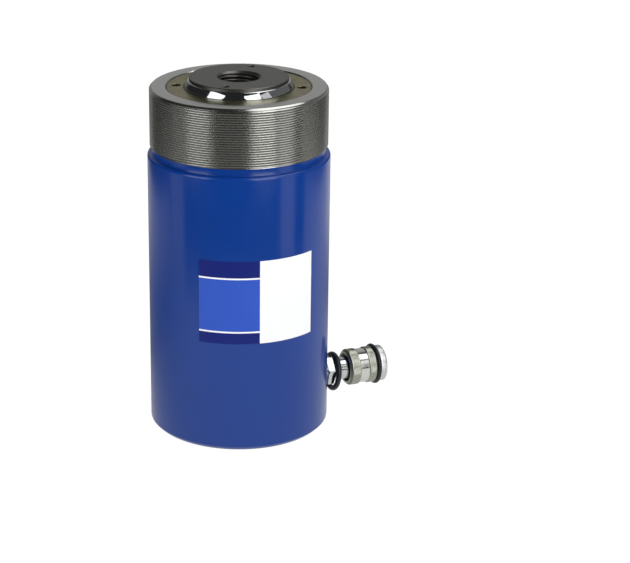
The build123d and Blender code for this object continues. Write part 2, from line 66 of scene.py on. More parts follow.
RIDGE_STEPS = 5
RIDGE_HALF = 0.49
CREST_ROUND = 0.20
CREST_FLAT = 0.17
WELD = 0.00002 * MM
NEAR = 0.01 * MM
HAIR = 0.1 * MM
PAST = 1.0 * MM
BED = 0.03 * MM
HOLE_EDGE = 0.3 * MM
WHITE = (1, 1, 1, 1)

Outline = list[tuple[float, float]]
Ends = tuple[float, float]
Point = tuple[float, float, float]
Tree = bpy.types.NodeTree
Node = bpy.types.Node
Socket = bpy.types.NodeSocket

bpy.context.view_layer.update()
log = logging.getLogger("cylinder")


class Join(Enum):
    """How one shape changes another."""

    CUT = "DIFFERENCE"
    FUSE = "UNION"
    COMMON = "INTERSECT"


class Lay(Enum):
    """Which axis a turned piece was turned about."""

    UPRIGHT = "upright"
    PORT = "port"


class Body(Enum):
    """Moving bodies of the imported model."""

    CYLINDER = "cylinder"
    PLUNGER = "plunger"
    SLEEVE = "sleeve"
    DUST_CAP = "dust_cap"
    TETHER_RING = "tether_ring"


def span(node: str, axis: str = "z") -> Ends:
    """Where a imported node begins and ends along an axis."""
    low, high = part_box(node)
    return getattr(low, axis), getattr(high, axis)


def rod(radius: float, bottom: float, top: float) -> Outline:
    """Outline of a round bar between two heights."""
    return [(0.0, bottom), (radius, bottom), (radius, top), (0.0, top)]


def blind_hole(radius: float, top: float, depth: float, tip: float = 0.0) -> Outline:
    """Outline of a cutter for a hole from above, with a chamfered mouth."""
    return [(0, top - depth - tip), (radius, top - depth), (radius, top - HOLE_EDGE),
            (radius + HOLE_EDGE + PAST, top + PAST), (0, top + PAST)]


def notch(wall: float, floor: float, start: float, end: float) -> Outline:
    """Part of an outline that leaves a wall for a groove's floor or a rib's crest, and comes back."""
    return [(wall, start), (floor, start), (floor, end), (wall, end)]


PORT_HEIGHT = sum(span("coupler_sleeve")) / 2


class Shape:
    """A solid being shaped in a bmesh, about its own Z axis until it is placed."""

    def __init__(self) -> None:
        """Start with an empty mesh."""
        self.mesh = bmesh.new()

    def draw(self, outline: Outline, closed: bool = True) -> list:
        """Draw an outline of (radius, height) points, and return its points and edges."""
        points = [self.mesh.verts.new((radius, 0.0, height)) for radius, height in outline]
        ends = points[1:] + points[:1] if closed else points[1:]
        return points + [self.mesh.edges.new(pair) for pair in zip(points, ends)]

    def spin(self, drawn: list, steps: int, angle: float = TURN, climb: float = 0.0,
             merge: bool = True) -> list:
        """Spin points and edges about the axis.

        Args:
            drawn: The points and edges.
            steps: Steps of the spin.
            angle: How far to spin.
            climb: Rise in one step.
            merge: True where a full turn closes on itself.

        Returns:
            The points and edges that the spin ends with.
        """
        made = bmesh.ops.spin(
            self.mesh, geom=drawn, cent=(0, 0, 0), axis=(0, 0, 1), dvec=(0, 0, climb),
            angle=angle, steps=steps, use_merge=merge, use_duplicate=False,
        )
        return made["geom_last"]

    @classmethod
    def turned(cls, outline: Outline, steps: int = BIG_ROUND) -> "Shape":
        """Solid of revolution of a closed outline."""
        shape = cls()
        shape.spin(shape.draw(outline), steps)
        return shape.weld()

    @classmethod
    def ring_of_wire(cls, radius: float, wire: float, height: float) -> "Shape":
        """Round ring of round section.

        Args:
            radius: Outer radius of the ring.
            wire: Diameter of the section.
            height: Height of the ring's plane.

        Returns:
            The ring.
        """
        shape = cls()
        place = Matrix.Translation((radius - wire / 2, 0, height)) @ Matrix.Rotation(math.pi / 2, 4, "X")
        circle = bmesh.ops.create_circle(shape.mesh, cap_ends=False, radius=wire / 2, segments=32, matrix=place)
        edges = list({edge for vert in circle["verts"] for edge in vert.link_edges})
        shape.spin(circle["verts"] + edges, 128)
        return shape.weld()

    @classmethod
    def thread(cls, root: float, crest: float, pitch: float, ends: Ends, leads: Ends, steps: int) -> "Shape":
        """Right-hand thread ridge with steep flanks and a flat crest with a rounded upper edge.

        Args:
            root: Radius of the wall that it is bedded in.
            crest: Radius of its crest, smaller than the root's for a nut.
            pitch: Climb in one turn.
            ends: Heights between which it runs.
            leads: Radius of the chamfer cone at each end.
            steps: Steps of one turn.

        Returns:
            The closed ridge, run out under the chamfers at its ends.
        """
        low, high = ends
        side = math.copysign(1.0, crest - root)
        edge = CREST_ROUND * pitch
        turns = [math.radians(60) * (RIDGE_STEPS - k) / RIDGE_STEPS for k in range(RIDGE_STEPS + 1)]
        flank, wall = RIDGE_HALF * pitch, root - side * 4 * BED
        shape = cls()
        drawn = shape.draw([
            (wall, flank), (root, flank),
            *[(crest - side * edge * (1 - math.cos(turn)), edge * math.sin(turn)) for turn in turns],
            (crest, -CREST_FLAT * pitch), (root, -flank), (wall, -flank),
        ])
        shape.spin(drawn, steps, climb=pitch / steps, merge=False)
        one_turn = shape.mesh.verts[:] + shape.mesh.edges[:] + shape.mesh.faces[:]
        for _ in range(math.ceil((high - low) / pitch) + 1):
            one_turn = bmesh.ops.duplicate(shape.mesh, geom=one_turn)["geom"]
            verts = [item for item in one_turn if isinstance(item, bmesh.types.BMVert)]
            bmesh.ops.translate(shape.mesh, vec=(0, 0, pitch), verts=verts)
        bmesh.ops.remove_doubles(shape.mesh, verts=shape.mesh.verts, dist=WELD)
        open_edges = [edge for edge in shape.mesh.edges if len(edge.link_faces) == 1]
        bmesh.ops.holes_fill(shape.mesh, edges=open_edges, sides=len(turns) + 5)
        shape.weld().place(Matrix.Translation((0, 0, low - pitch)))
        for vert in shape.mesh.verts:
            height = min(max(vert.co.z, low + BED), high - BED)
            radius = vert.co.xy.length
            cone = min(side * leads[0] + (height - low), side * leads[1] + (high - height)) - BED
            factor = side * min(side * radius, cone) / radius
            vert.co = Vector((vert.co.x * factor, vert.co.y * factor, height))
        return shape.weld()

    def weld(self) -> "Shape":
        """Merge doubles, drop what has collapsed and turn the faces outwards."""
        bmesh.ops.remove_doubles(self.mesh, verts=self.mesh.verts, dist=WELD)
        bmesh.ops.dissolve_degenerate(self.mesh, edges=self.mesh.edges, dist=WELD)
        bare = [edge for edge in self.mesh.edges if not edge.link_faces]
        bmesh.ops.delete(self.mesh, geom=bare, context="EDGES")
        alone = [vert for vert in self.mesh.verts if not vert.link_faces]
        bmesh.ops.delete(self.mesh, geom=alone, context="VERTS")
        bmesh.ops.recalc_face_normals(self.mesh, faces=self.mesh.faces)
        return self

    def bevel(self, edges: list, size: float, segments: int) -> "Shape":
        """Round edges over a size on each side, in a number of steps."""
        bmesh.ops.bevel(
            self.mesh, geom=edges, offset=size, offset_type="OFFSET", segments=segments,
            affect="EDGES", profile=0.5, material=-1, clamp_overlap=False,
        )
        return self

    def round_edge(self, radius: float, height: float, size: float, segments: int = 3) -> "Shape":
        """Round the circular edge that runs at one radius and height."""
        return self.bevel([
            edge for edge in self.mesh.edges
            if all(abs(v.co.z - height) < NEAR and abs(v.co.xy.length - radius) < NEAR for v in edge.verts)
        ], size, segments)

    def place(self, matrix: Matrix) -> "Shape":
        """Move every vertex by a matrix."""
        bmesh.ops.transform(self.mesh, matrix=matrix, verts=self.mesh.verts)
        return self

    def on_port(self) -> "Shape":
        """Lay the shape along the port axis: its height becomes the distance from the centre."""
        return self.place(Matrix.Translation((0, 0, PORT_HEIGHT)) @ Matrix.Rotation(math.pi / 2, 4, "Y"))

    def add(self, other: "Shape") -> "Shape":
        """Take in another shape's faces, as for a thread that is bedded in its wall."""
        carrier = bpy.data.meshes.new("carrier")
        other.mesh.to_mesh(carrier)
        self.mesh.from_mesh(carrier)
        bpy.data.meshes.remove(carrier)
        return self

    def combine(self, tool: "Shape", how: Join) -> "Shape":
        """Cut with, fuse with or keep what is common with another solid.

        Args:
            tool: The other solid.
            how: What to do with it.

        Returns:
            The same shape.
        """
        work = []
        for shape in (self, tool):
            data = bpy.data.meshes.new("work")
            shape.mesh.to_mesh(data)
            item = bpy.data.objects.new("work", data)
            bpy.context.scene.collection.objects.link(item)
            work.append(item)
        step = work[0].modifiers.new("combine", "BOOLEAN")
        step.operation, step.object, step.solver = how.value, work[1], "EXACT"
        bpy.context.view_layer.update()
        result = bpy.data.meshes.new_from_object(work[0].evaluated_get(bpy.context.evaluated_depsgraph_get()))
        self.mesh.clear()
        self.mesh.from_mesh(result)
        for data in (work[0].data, work[1].data, result):
            bpy.data.meshes.remove(data)
        return self.weld()

    def drill(self, outline: Outline, angle: float, circle: float, count: int,
              steps: int = HOLE_ROUND) -> "Shape":
        """Cut upright holes, evenly spaced on a circle.

        Args:
            outline: Outline of the cutter.
            angle: Where the first hole is, in degrees.
            circle: Radius of the circle.
            count: Number of holes.
            steps: Steps round a hole.

        Returns:
            The same shape.
        """
        for k in range(count):
            turn = Matrix.Rotation(math.radians(angle + 360 / count * k), 4, "Z")
            hole = Shape.turned(outline, steps).place(turn @ Matrix.Translation((circle, 0, 0)))
            self.combine(hole, Join.CUT)
        return self

    def paint_where(self, index: int, where: Callable[[Vector], bool]) -> "Shape":
        """Give a material index to the faces whose centre passes a test."""
        for face in self.mesh.faces:
            if where(face.calc_center_median()):
                face.material_index = index
        return self


def linear(hex_colour: str) -> tuple[float, float, float, float]:
    """Turn an sRGB hex colour into the linear colour that a socket takes."""
    channels = [int(hex_colour[k:k + 2], 16) / 255 for k in (1, 3, 5)]
    red, green, blue = (c / 12.92 if c <= 0.04045 else ((c + 0.055) / 1.055) ** 2.4 for c in channels)
    return red, green, blue, 1.0


def add_node(tree: Tree, kind: str, inputs: dict | None = None, **settings) -> Node:
    """Add a node.

    Args:
        tree: Node tree of the material or world.
        kind: Type of the node.
        inputs: Value, output socket or node (for its first output) for each input, by name or number.
        settings: Properties of the node itself.

    Returns:
        The node.
    """
    node = tree.nodes.new(kind)
    for name, value in settings.items():
        setattr(node, name, value)
    for name, value in (inputs or {}).items():
        if isinstance(value, Node):
            value = value.outputs[0]
        if isinstance(value, Socket):
            tree.links.new(value, node.inputs[name])
        else:
            node.inputs[name].default_value = value
    return node


@dataclass(frozen=True)
class Grain:
    """Noise with features of a size in millimetres, and finer noise on them."""

    size: float
    detail: float = 3.0
    fade: float = 0.5

    def lead(self, tree: Tree, place: Socket, values: Ends = (0.0, 1.0), between: Ends = (0.0, 1.0)) -> Node:
        """Let a value follow the noise.

        Args:
            tree: Node tree of the material.
            place: Where the noise is read.
            values: The value at its least and at its most.
            between: The noise at which it is at its least and at its most.

        Returns:
            The node that gives the value.
        """
        noise = add_node(tree, "ShaderNodeTexNoise", {
            "Vector": place, "Scale": 1 / (self.size * MM), "Detail": self.detail, "Roughness": self.fade})
        return add_node(tree, "ShaderNodeMapRange", {
            "Value": noise, "From Min": between[0], "From Max": between[1],
            "To Min": values[0], "To Max": values[1]})


@dataclass(frozen=True)
class Finish:
    """A surface whose colour, roughness and height each follow a grain."""

    name: str
    colour: str
    roughness: float
    metallic: float = 0.0
    shade: str = "#1C1C1C"
    shade_amount: float = 1.0
    shade_between: Ends = (0.0, 1.0)
    spread: float = 0.08
    depth: float = 0.01
    strength: float = 0.5
    specular: float = 0.5
    tint: Grain = Grain(5.0)
    gloss: Grain = Grain(3.0)
    relief: Grain = Grain(0.5, 2.0)

    def build(self) -> bpy.types.Material:
        """Make the material, with its constants set on the shader itself.

        Returns:
            The material.
        """
        made = bpy.data.materials.new(self.name)
        made.use_nodes = True
        made.diffuse_color = linear(self.colour)
        shader = made.node_tree.nodes["Principled BSDF"]
        for name, value in (("Base Color", linear(self.colour)), ("Metallic", self.metallic),
                            ("Roughness", self.roughness), ("Specular IOR Level", self.specular)):
            shader.inputs[name].default_value = value
        self.pattern(made.node_tree, shader)
        return made

    def grains(self) -> tuple[Grain, Grain, Grain]:
        """Grain of the colour, of the roughness and of the height."""
        return self.tint, self.gloss, self.relief

    def section(self, tree: Tree, place: Socket) -> Socket:
        """Where the grain of colour and height is read, from the place on the piece."""
        return place

    def pattern(self, tree: Tree, shader: Node) -> None:
        """Vary the surface.

        Args:
            tree: Node tree of the material.
            shader: Its shader.
        """
        place = add_node(tree, "ShaderNodeTexCoord").outputs["Object"]
        section = self.section(tree, place)
        tint, gloss, relief = self.grains()
        mix = add_node(tree, "ShaderNodeMix", {
            "Factor": tint.lead(tree, section, (0.0, self.shade_amount), self.shade_between),
            6: linear(self.colour), 7: linear(self.shade)}, data_type="RGBA")
        tree.links.new(mix.outputs[2], shader.inputs["Base Color"])
        rough = gloss.lead(tree, place, (self.roughness - self.spread, self.roughness + self.spread))
        tree.links.new(rough.outputs[0], shader.inputs["Roughness"])
        bump = add_node(tree, "ShaderNodeBump", {
            "Strength": self.strength, "Distance": self.depth * MM, "Height": relief.lead(tree, section)})
        tree.links.new(bump.outputs[0], shader.inputs["Normal"])


@dataclass(frozen=True)
class Enamel(Finish):
    """Sprayed gloss enamel: deep colour in faint clouds, under a skin that ripples and takes smudges."""

    shade: str = "#032E7A"
    shade_amount: float = 0.35
    shade_between: Ends = (0.35, 0.75)
    spread: float = 0.05
    depth: float = 0.012
    tint: Grain = Grain(60.0)
    gloss: Grain = Grain(14.0, 4.0)
    relief: Grain = Grain(2.2, 1.0)


@dataclass(frozen=True)
class TurnedMetal(Finish):
    """Metal off the lathe: lines round the axis, coarser than the real ones so that they show."""

    lay: Lay = Lay.UPRIGHT
    line: float = 0.35
    line_fade: float = 0.6
    patch_lines: float = 20.0
    shade: str = "#8A8A88"
    shade_amount: float = 0.5
    shade_between: Ends = (0.35, 0.65)
    spread: float = 0.06
    depth: float = 0.008

    def grains(self) -> tuple[Grain, Grain, Grain]:
        """Lines in colour and height, and patches many lines wide in the gloss."""
        lines = Grain(self.line, fade=self.line_fade)
        return lines, Grain(self.patch_lines * self.line), lines

    def section(self, tree: Tree, place: Socket) -> Socket:
        """Radius and height about the turning axis, so that the lines ring a face and circle a bar.

        Args:
            tree: Node tree of the material.
            place: Place on the piece.

        Returns:
            The radius and the height, as a vector.
        """
        if self.lay is Lay.PORT:
            place = add_node(tree, "ShaderNodeMapping", {"Vector": place, "Location": (0, 0, -PORT_HEIGHT)})
            place = add_node(tree, "ShaderNodeMapping", {"Vector": place, "Rotation": (0, -math.pi / 2, 0)})
        flat = add_node(tree, "ShaderNodeVectorMath", {0: place, 1: (1, 1, 0)}, operation="MULTIPLY")
        radius = add_node(tree, "ShaderNodeVectorMath", {0: flat}, operation="LENGTH").outputs["Value"]
        height = add_node(tree, "ShaderNodeSeparateXYZ", {0: place}).outputs["Z"]
        return add_node(tree, "ShaderNodeCombineXYZ", {0: radius, 1: height}).outputs[0]


@dataclass(frozen=True)
class ClearedZinc(TurnedMetal):
    """Turned steel with yellow passivated zinc, whose film clouds from straw to olive."""

    film: str = "#6F7350"
    film_amount: float = 0.8
    film_between: Ends = (0.4, 0.7)
    film_grain: Grain = Grain(9.0, 4.0)

    def pattern(self, tree: Tree, shader: Node) -> None:
        """Add the film's clouds over the lathe lines.

        Args:
            tree: Node tree of the material.
            shader: Its shader.
        """
        super().pattern(tree, shader)
        place = add_node(tree, "ShaderNodeTexCoord").outputs["Object"]
        mix = add_node(tree, "ShaderNodeMix", {
            "Factor": self.film_grain.lead(tree, place, (0.0, self.film_amount), self.film_between),
            6: shader.inputs["Base Color"].links[0].from_socket, 7: linear(self.film)}, data_type="RGBA")
        tree.links.new(mix.outputs[2], shader.inputs["Base Color"])


@dataclass(frozen=True)
class CastMetal(Finish):
    """Die-cast or tumbled metal: bright, with a fine pebbled skin."""

    depth: float = 0.03
    strength: float = 0.6
    tint: Grain = Grain(0.7)
    gloss: Grain = Grain(2.8, 2.0)
    relief: Grain = Grain(0.7)


@dataclass(frozen=True)
class Moulded(Finish):
    """Moulded rubber or plastic: even colour with the mould's fine grain and handling marks."""


@dataclass(frozen=True)
class PrintedFoil(Finish):
    """Printed label foil: flat ink under a satin film with the ripple of what it is stuck on."""

    spread: float = 0.05
    depth: float = 0.02
    strength: float = 0.3
    specular: float = 0.25
    tint: Grain = Grain(1.5)
    gloss: Grain = Grain(12.0, 2.0)
    relief: Grain = Grain(6.0, 1.0)


class Paintshop:
    """Every finish of the cylinder, made once."""

    def __init__(self) -> None:
        """Make all the materials."""
        turned = partial(TurnedMetal, metallic=1.0)
        port = partial(turned, lay=Lay.PORT, depth=0.002)
        finishes = [
            # Sprayed enamel: deep blue with sharp highlights.
            Enamel("blue_enamel", "#043686", 0.18),
            # Turned steel: grey with broad soft highlights. The thread's is brighter and smoother.
            turned("turned_steel", "#A5A49F", 0.30),
            turned("thread_steel", "#BFBFBB", 0.20, shade="#ACACA8", depth=0.002, spread=0.03),
            # Ground hard chrome: a mirror with a cool tint.
            turned("ground_chrome", "#C9CBCE", 0.07, line=0.5, depth=0.001, shade_amount=0.1, spread=0.02),
            # Yellow passivated zinc: a matt olive shimmer.
            ClearedZinc("yellow_zinc", "#998F5E", 0.34, 1.0),
            # Black oxide on machined steel: dark grey with a dull sheen.
            turned("black_oxide", "#706F6C", 0.40, shade="#545350", line=0.6),
            # Bronze bush: brown gold.
            turned("bronze", "#B08A55", 0.33, shade="#8A6534"),
            # Oiled spring wire: dark with a long streak of light.
            turned("spring_steel", "#5B5A57", 0.35, shade="#3A3938", line=0.8),
            # Bright zinc: nearly white, with mirror streaks.
            port("bright_zinc", "#DDE1E2", 0.10, shade="#C3C9CA"),
            # Nickel: warm satin on the knurl, polished on the smooth band. On the back chamfer it is rougher
            # and darker; the darker colour is painted shade, as that chamfer lies in shadow.
            port("satin_nickel", "#B5B6AA", 0.24, shade="#A1A296"),
            port("bright_nickel", "#E8EAE5", 0.15, shade="#D4D7D2"),
            port("dull_nickel", "#8F9084", 0.50, shade="#7E7F73"),
            # Tumbled cast aluminium: white metal that scatters light.
            CastMetal("cast_aluminium", "#EEF0F1", 0.32, 1.0, shade="#C6C9CB"),
            # Moulded rubber and plastics: plain colours with a weak shine.
            Moulded("black_rubber", "#161616", 0.38),
            Moulded("white_ptfe", "#DEDDD6", 0.50, shade="#CFCEC6"),
            Moulded("amber_polyurethane", "#B47A28", 0.25, shade="#96611A"),
            Moulded("phenolic", "#7A5637", 0.55, shade="#5F4026"),
            # Inks under satin film: flat colours that hardly mirror.
            PrintedFoil("navy_print", "#05176A", 0.35, shade="#0A1F72"),
            PrintedFoil("blue_print", "#274EB6", 0.35, shade="#3257BD"),
            PrintedFoil("white_print", "#F5F6F7", 0.38, shade="#EAECED"),
        ]
        self.materials = {finish.name: finish.build() for finish in finishes}

    def __getitem__(self, name: str) -> bpy.types.Material:
        """Material of a finish, by the finish's name."""
        return self.materials[name]


@dataclass
class Assembler:
    """Turns shapes into pieces that ride on their bodies."""

    paint: Paintshop
    sharp_angle: float = 32.0

    def piece(self, name: str, shape: Shape, body: Body, finishes: Iterable[str],
              replaces: Iterable[str] = ()) -> bpy.types.Object:
        """Make a piece of the object.

        Args:
            name: Name of the piece.
            shape: Its finished shape, in place.
            body: The body that it rides on.
            finishes: Names of its finishes, in the order of the faces' material indices.
            replaces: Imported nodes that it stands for.

        Returns:
            The new object, at the origin, unturned and unscaled.
        """
        data = bpy.data.meshes.new(name)
        shape.mesh.to_mesh(data)
        shape.mesh.free()
        for finish in finishes:
            data.materials.append(self.paint[finish])
        data.shade_smooth()
        data.set_sharp_from_angle(angle=math.radians(self.sharp_angle))
        made = bpy.data.objects.new(name, data)
        bpy.context.scene.collection.objects.link(made)
        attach(made, body.value)
        if replaces:
            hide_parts(*replaces)
        log.info("%s: %d faces on %s", name, len(data.polygons), body.value)
        return made

    def dress(self, node: str, finish: str) -> None:
        """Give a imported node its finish, with its mesh as it is."""
        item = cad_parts[node]
        item.data.materials.clear()
        item.data.materials.append(self.paint[finish])
        log.info("%s: %s", node, finish)


@dataclass
class Barrel:
    """Painted base, barrel and neck, with the threaded collar above and the label on the front."""

    radius: float = 81.5 * MM
    shoulder_height: float = 256.2 * MM
    shoulder_round: float = 2.5 * MM
    base_chamfer: float = 4.0 * MM
    edge_round: float = 0.8 * MM
    neck_radius: float = 77.35 * MM
    neck_height: float = 6.7 * MM
    hole_radius: float = 27.0 * MM
    hole_chamfer: float = 1.0 * MM
    tube_radius: float = 34.925 * MM
    tube_lip: float = 5.0 * MM
    floor: float = 25.4 * MM
    bore_radius: float = 61.9 * MM
    collar_bore_radius: float = 64.5 * MM
    collar_bore_chamfer: float = 0.8 * MM
    collar_chamfer: float = 2.0 * MM
    collar_round: float = 0.25 * MM
    thread_radius: float = 79.375 * MM
    thread_pitch: float = INCH / 12
    thread_depth: float = 1.25 * MM
    thread_steps: int = 150
    bolt_hole_radius: float = 5.35 * MM
    bolt_hole_mouth: float = 0.4 * MM
    bolt_hole_depth: float = 14.0 * MM
    bolt_circle_radius: float = 65.1 * MM
    bolt_count: int = 4
    port_radius: float = 8.55 * MM
    port_depth: float = 15.5 * MM
    label_angles: tuple[float, ...] = (-135.4, -97.0, -58.7)
    label_heights: tuple[float, ...] = (103.5, 113.7, 115.2, 163.6, 165.1, 180.3)
    label_thickness: float = 0.12 * MM
    label_step: float = 1.0

    @property
    def neck_top(self) -> float:
        """Height of the joint line between paint and bare collar."""
        return self.shoulder_height + self.neck_height

    def barrel_shape(self) -> Shape:
        """Base, barrel and neck up to the collar, with the bores, the port and the base holes."""
        rim = self.radius - self.base_chamfer
        shape = Shape.turned([
            (self.hole_radius + self.hole_chamfer, 0), (rim, 0), (self.radius, self.base_chamfer),
            (self.radius, self.shoulder_height), (self.neck_radius, self.shoulder_height),
            (self.neck_radius, self.neck_top), (self.bore_radius, self.neck_top),
            (self.bore_radius, self.floor), (self.tube_radius, self.floor), (self.tube_radius, self.tube_lip),
            (self.hole_radius, self.tube_lip), (self.hole_radius, self.hole_chamfer),
        ])
        shape.round_edge(self.radius, self.shoulder_height, self.shoulder_round, 6)
        for radius, height in ((self.radius, self.base_chamfer), (rim, 0),
                               (self.neck_radius, self.shoulder_height)):
            shape.round_edge(radius, height, self.edge_round)
        port = rod(self.port_radius, self.radius - self.port_depth, self.radius + PAST)
        shape.combine(Shape.turned(port, HOLE_ROUND).on_port(), Join.CUT)
        hole, depth = self.bolt_hole_radius, self.bolt_hole_depth
        shape.drill([(0, -PAST), (hole + PAST, -PAST), (hole, self.bolt_hole_mouth), (hole, depth),
                     (0, depth + hole / 2)], 180 / self.bolt_count, self.bolt_circle_radius, self.bolt_count)
        inside = self.neck_radius - HAIR
        return shape.paint_where(1, lambda at: at.xy.length < (inside if at.z > HAIR else rim))

    def collar_shape(self) -> Shape:
        """Bare steel collar: a core at the thread's root, and the thread's ridge bedded in it."""
        root = self.thread_radius - self.thread_depth
        flat = self.thread_radius - self.collar_chamfer
        bore, chamfer = self.collar_bore_radius, self.collar_bore_chamfer
        low, top, seat = self.neck_top, span("cylinder_body")[1], span("gland_nut")[0]
        shape = Shape.turned([
            (self.bore_radius, low), (root, low), (root, top - (root - flat)), (flat, top),
            (bore + chamfer, top), (bore, top - chamfer), (bore, seat), (self.bore_radius, seat),
        ])
        shape.round_edge(flat, top, self.collar_round)
        leads = (self.thread_radius - self.collar_chamfer / 2, flat)
        return shape.add(Shape.thread(root, self.thread_radius, self.thread_pitch, (low, top), leads,
                                      self.thread_steps))

    def label_shape(self) -> Shape:
        """Foil label wrapped on the barrel, in two panels, the left one with header, field and footer."""
        shape = Shape()
        rows = [height * MM for height in self.label_heights]
        start, split, end = self.label_angles
        drawn = shape.draw([(self.radius + BED, height) for height in rows], closed=False)
        shape.place(Matrix.Rotation(math.radians(start), 4, "Z"))
        for turn in (split - start, end - split):
            drawn = shape.spin(drawn, round(turn / self.label_step), math.radians(turn), merge=False)
        shape.weld()
        bmesh.ops.solidify(shape.mesh, geom=shape.mesh.faces[:], thickness=-self.label_thickness)
        bmesh.ops.recalc_face_normals(shape.mesh, faces=shape.mesh.faces)
        shape.paint_where(1, lambda at: rows[2] < at.z < rows[3])
        return shape.paint_where(2, lambda at: math.atan2(at.y, at.x) > math.radians(split)
                                 or rows[1] < at.z < rows[2] or rows[3] < at.z < rows[4])

    def build(self, shop: Assembler) -> None:
        """Make the body's pieces."""
        shop.piece("barrel", self.barrel_shape(), Body.CYLINDER,
                   ["blue_enamel", "turned_steel"], ["cylinder_body"])
        shop.piece("threaded_collar", self.collar_shape(), Body.CYLINDER, ["thread_steel"])
        shop.piece("label", self.label_shape(), Body.CYLINDER,
                   ["navy_print", "blue_print", "white_print"])


@dataclass
class Head:
    """Gland nut, wiper, plunger and threaded insert."""

    gland_radius: float = 64.45 * MM
    gland_chamfer: float = 0.8 * MM
    gland_bore_radius: float = 48.35 * MM
    gland_hole_radius: float = 4.1 * MM
    gland_hole_depth: float = 10.0 * MM
    gland_hole_circle: float = 55.5 * MM
    gland_hole_angle: float = -24.3
    lock_screw_radius: float = 2.5 * MM
    lock_screw_depth: float = 11.5 * MM
    lock_screw_angle: float = 70.0
    bearing_radius: float = 51.1 * MM
    bearing_foot: float = 8.0 * MM
    bearing_height: float = 18.0 * MM
    wiper_outer_radius: float = 50.45 * MM
    wiper_lip_radius: float = 49.2 * MM
    wiper_lip_round: float = 0.35 * MM
    wiper_cover: float = 2.6 * MM
    wiper_height: float = 7.0 * MM
    wiper_play: float = 0.06 * MM
    wiper_relief: float = 0.8 * MM
    wiper_slope: float = 2.0 * MM
    plunger_radius: float = 48.1 * MM
    plunger_bore_radius: float = 36.5 * MM
    spigot_radius: float = 44.0 * MM
    piston_collar_depth: float = 20.0 * MM
    lead_height: float = 5.5 * MM
    lead_inset: float = 2.8 * MM
    lead_round: float = 0.9 * MM
    rim_round: float = 0.8 * MM
    insert_radius: float = 44.2 * MM
    insert_bevel: float = 0.5 * MM
    insert_minor_radius: float = 17.5 * MM
    insert_major_radius: float = 19.3 * MM
    insert_pitch: float = INCH / 8
    insert_steps: int = 128
    insert_chamfer: float = 2.4 * MM
    insert_hole_radius: float = 2.9 * MM
    insert_hole_depth: float = 8.0 * MM
    insert_hole_circle: float = 37.0 * MM
    insert_hole_angle: float = 52.5
    insert_hole_steps: int = 40
    edge_break: float = 1.0 * MM
    seal_play: float = 0.05 * MM

    def gland_shape(self) -> Shape:
        """Ring nut with its bearing and wiper seats, two spanner holes and half of the lock screw's hole."""
        bottom, top = span("gland_nut")
        radius, bore, chamfer = self.gland_radius, self.gland_bore_radius, self.gland_chamfer
        lip = self.wiper_lip_radius + self.seal_play
        seat = self.wiper_outer_radius + self.seal_play
        cover, foot = top - self.wiper_cover, bottom + self.bearing_foot
        shape = Shape.turned([
            (bore, bottom), (radius - chamfer, bottom), (radius, bottom + chamfer), (radius, top - chamfer),
            (radius - chamfer, top), (lip, top), (lip, cover), (seat, cover), (seat, cover - self.wiper_height),
            (bore, cover - self.wiper_height),
            *notch(bore, self.bearing_radius, foot + self.bearing_height, foot),
        ])
        shape.round_edge(lip, top, HOLE_EDGE)
        hole = self.gland_hole_radius
        shape.drill(blind_hole(hole, top, self.gland_hole_depth, hole / 2), self.gland_hole_angle,
                    self.gland_hole_circle, 2)
        screw = rod(self.lock_screw_radius, top - self.lock_screw_depth, top + PAST)
        return shape.drill(screw, self.lock_screw_angle, radius, 1)

    def wiper_shape(self) -> Shape:
        """Scraper ring, with its lip turned up against the plunger."""
        foot, top = span("rod_wiper")
        outer, lip = self.wiper_outer_radius, self.wiper_lip_radius
        inner = self.plunger_radius + self.wiper_play
        relief = inner + self.wiper_relief
        shelf = top - self.wiper_cover
        shape = Shape.turned([
            (relief, foot), (outer, foot), (outer, shelf), (lip, shelf), (lip, top), (inner, top),
            (inner, shelf), (relief, shelf - self.wiper_slope),
        ])
        return shape.round_edge(lip, top, self.wiper_lip_round)

    def plunger_shape(self) -> Shape:
        """Chromed ram: polished bar, tapered lead-in with softened edges, counterbore and spigot."""
        foot, top = span("plunger")
        radius, spigot, bore = self.plunger_radius, self.spigot_radius, self.plunger_bore_radius
        soft, rim = self.edge_break, radius - self.lead_inset
        shoulder, lead = foot + self.piston_collar_depth, top - self.lead_height
        counterbore, seat = self.insert_radius + self.seal_play, span("saddle_insert")[0]
        shape = Shape.turned([
            (bore, foot), (spigot - soft, foot), (spigot, foot + soft), (spigot, shoulder),
            (radius - soft, shoulder), (radius, shoulder + soft), (radius, lead), (rim, top),
            (counterbore, top), (counterbore, seat), (bore, seat),
        ])
        return shape.round_edge(radius, lead, self.lead_round, 4).round_edge(rim, top, self.rim_round, 4)

    def insert_shape(self) -> Shape:
        """Blackened insert with its spanner holes and the thread of the centre hole."""
        bottom, top = span("saddle_insert")
        radius, major, minor = self.insert_radius, self.insert_major_radius, self.insert_minor_radius
        mouth = minor + self.insert_chamfer
        shape = Shape.turned([
            (major, bottom), (radius - self.edge_break, bottom), (radius, bottom + self.edge_break),
            (radius, top - self.insert_bevel), (radius - self.insert_bevel, top), (mouth, top),
            (major, top - (mouth - major)),
        ])
        shape.drill(blind_hole(self.insert_hole_radius, top, self.insert_hole_depth), self.insert_hole_angle,
                    self.insert_hole_circle, 2, self.insert_hole_steps)
        return shape.add(Shape.thread(major, minor, self.insert_pitch, (bottom, top), (major, mouth),
                                      self.insert_steps))

    def build(self, shop: Assembler) -> None:
        """Make the head's pieces."""
        shop.piece("gland_ring", self.gland_shape(), Body.CYLINDER, ["yellow_zinc"],
                   ["gland_nut"])
        shop.piece("wiper_ring", self.wiper_shape(), Body.CYLINDER, ["black_rubber"],
                   ["rod_wiper"])
        shop.piece("ram", self.plunger_shape(), Body.PLUNGER, ["ground_chrome"], ["plunger"])
        shop.piece("insert", self.insert_shape(), Body.PLUNGER, ["black_oxide"],
                   ["saddle_insert"])


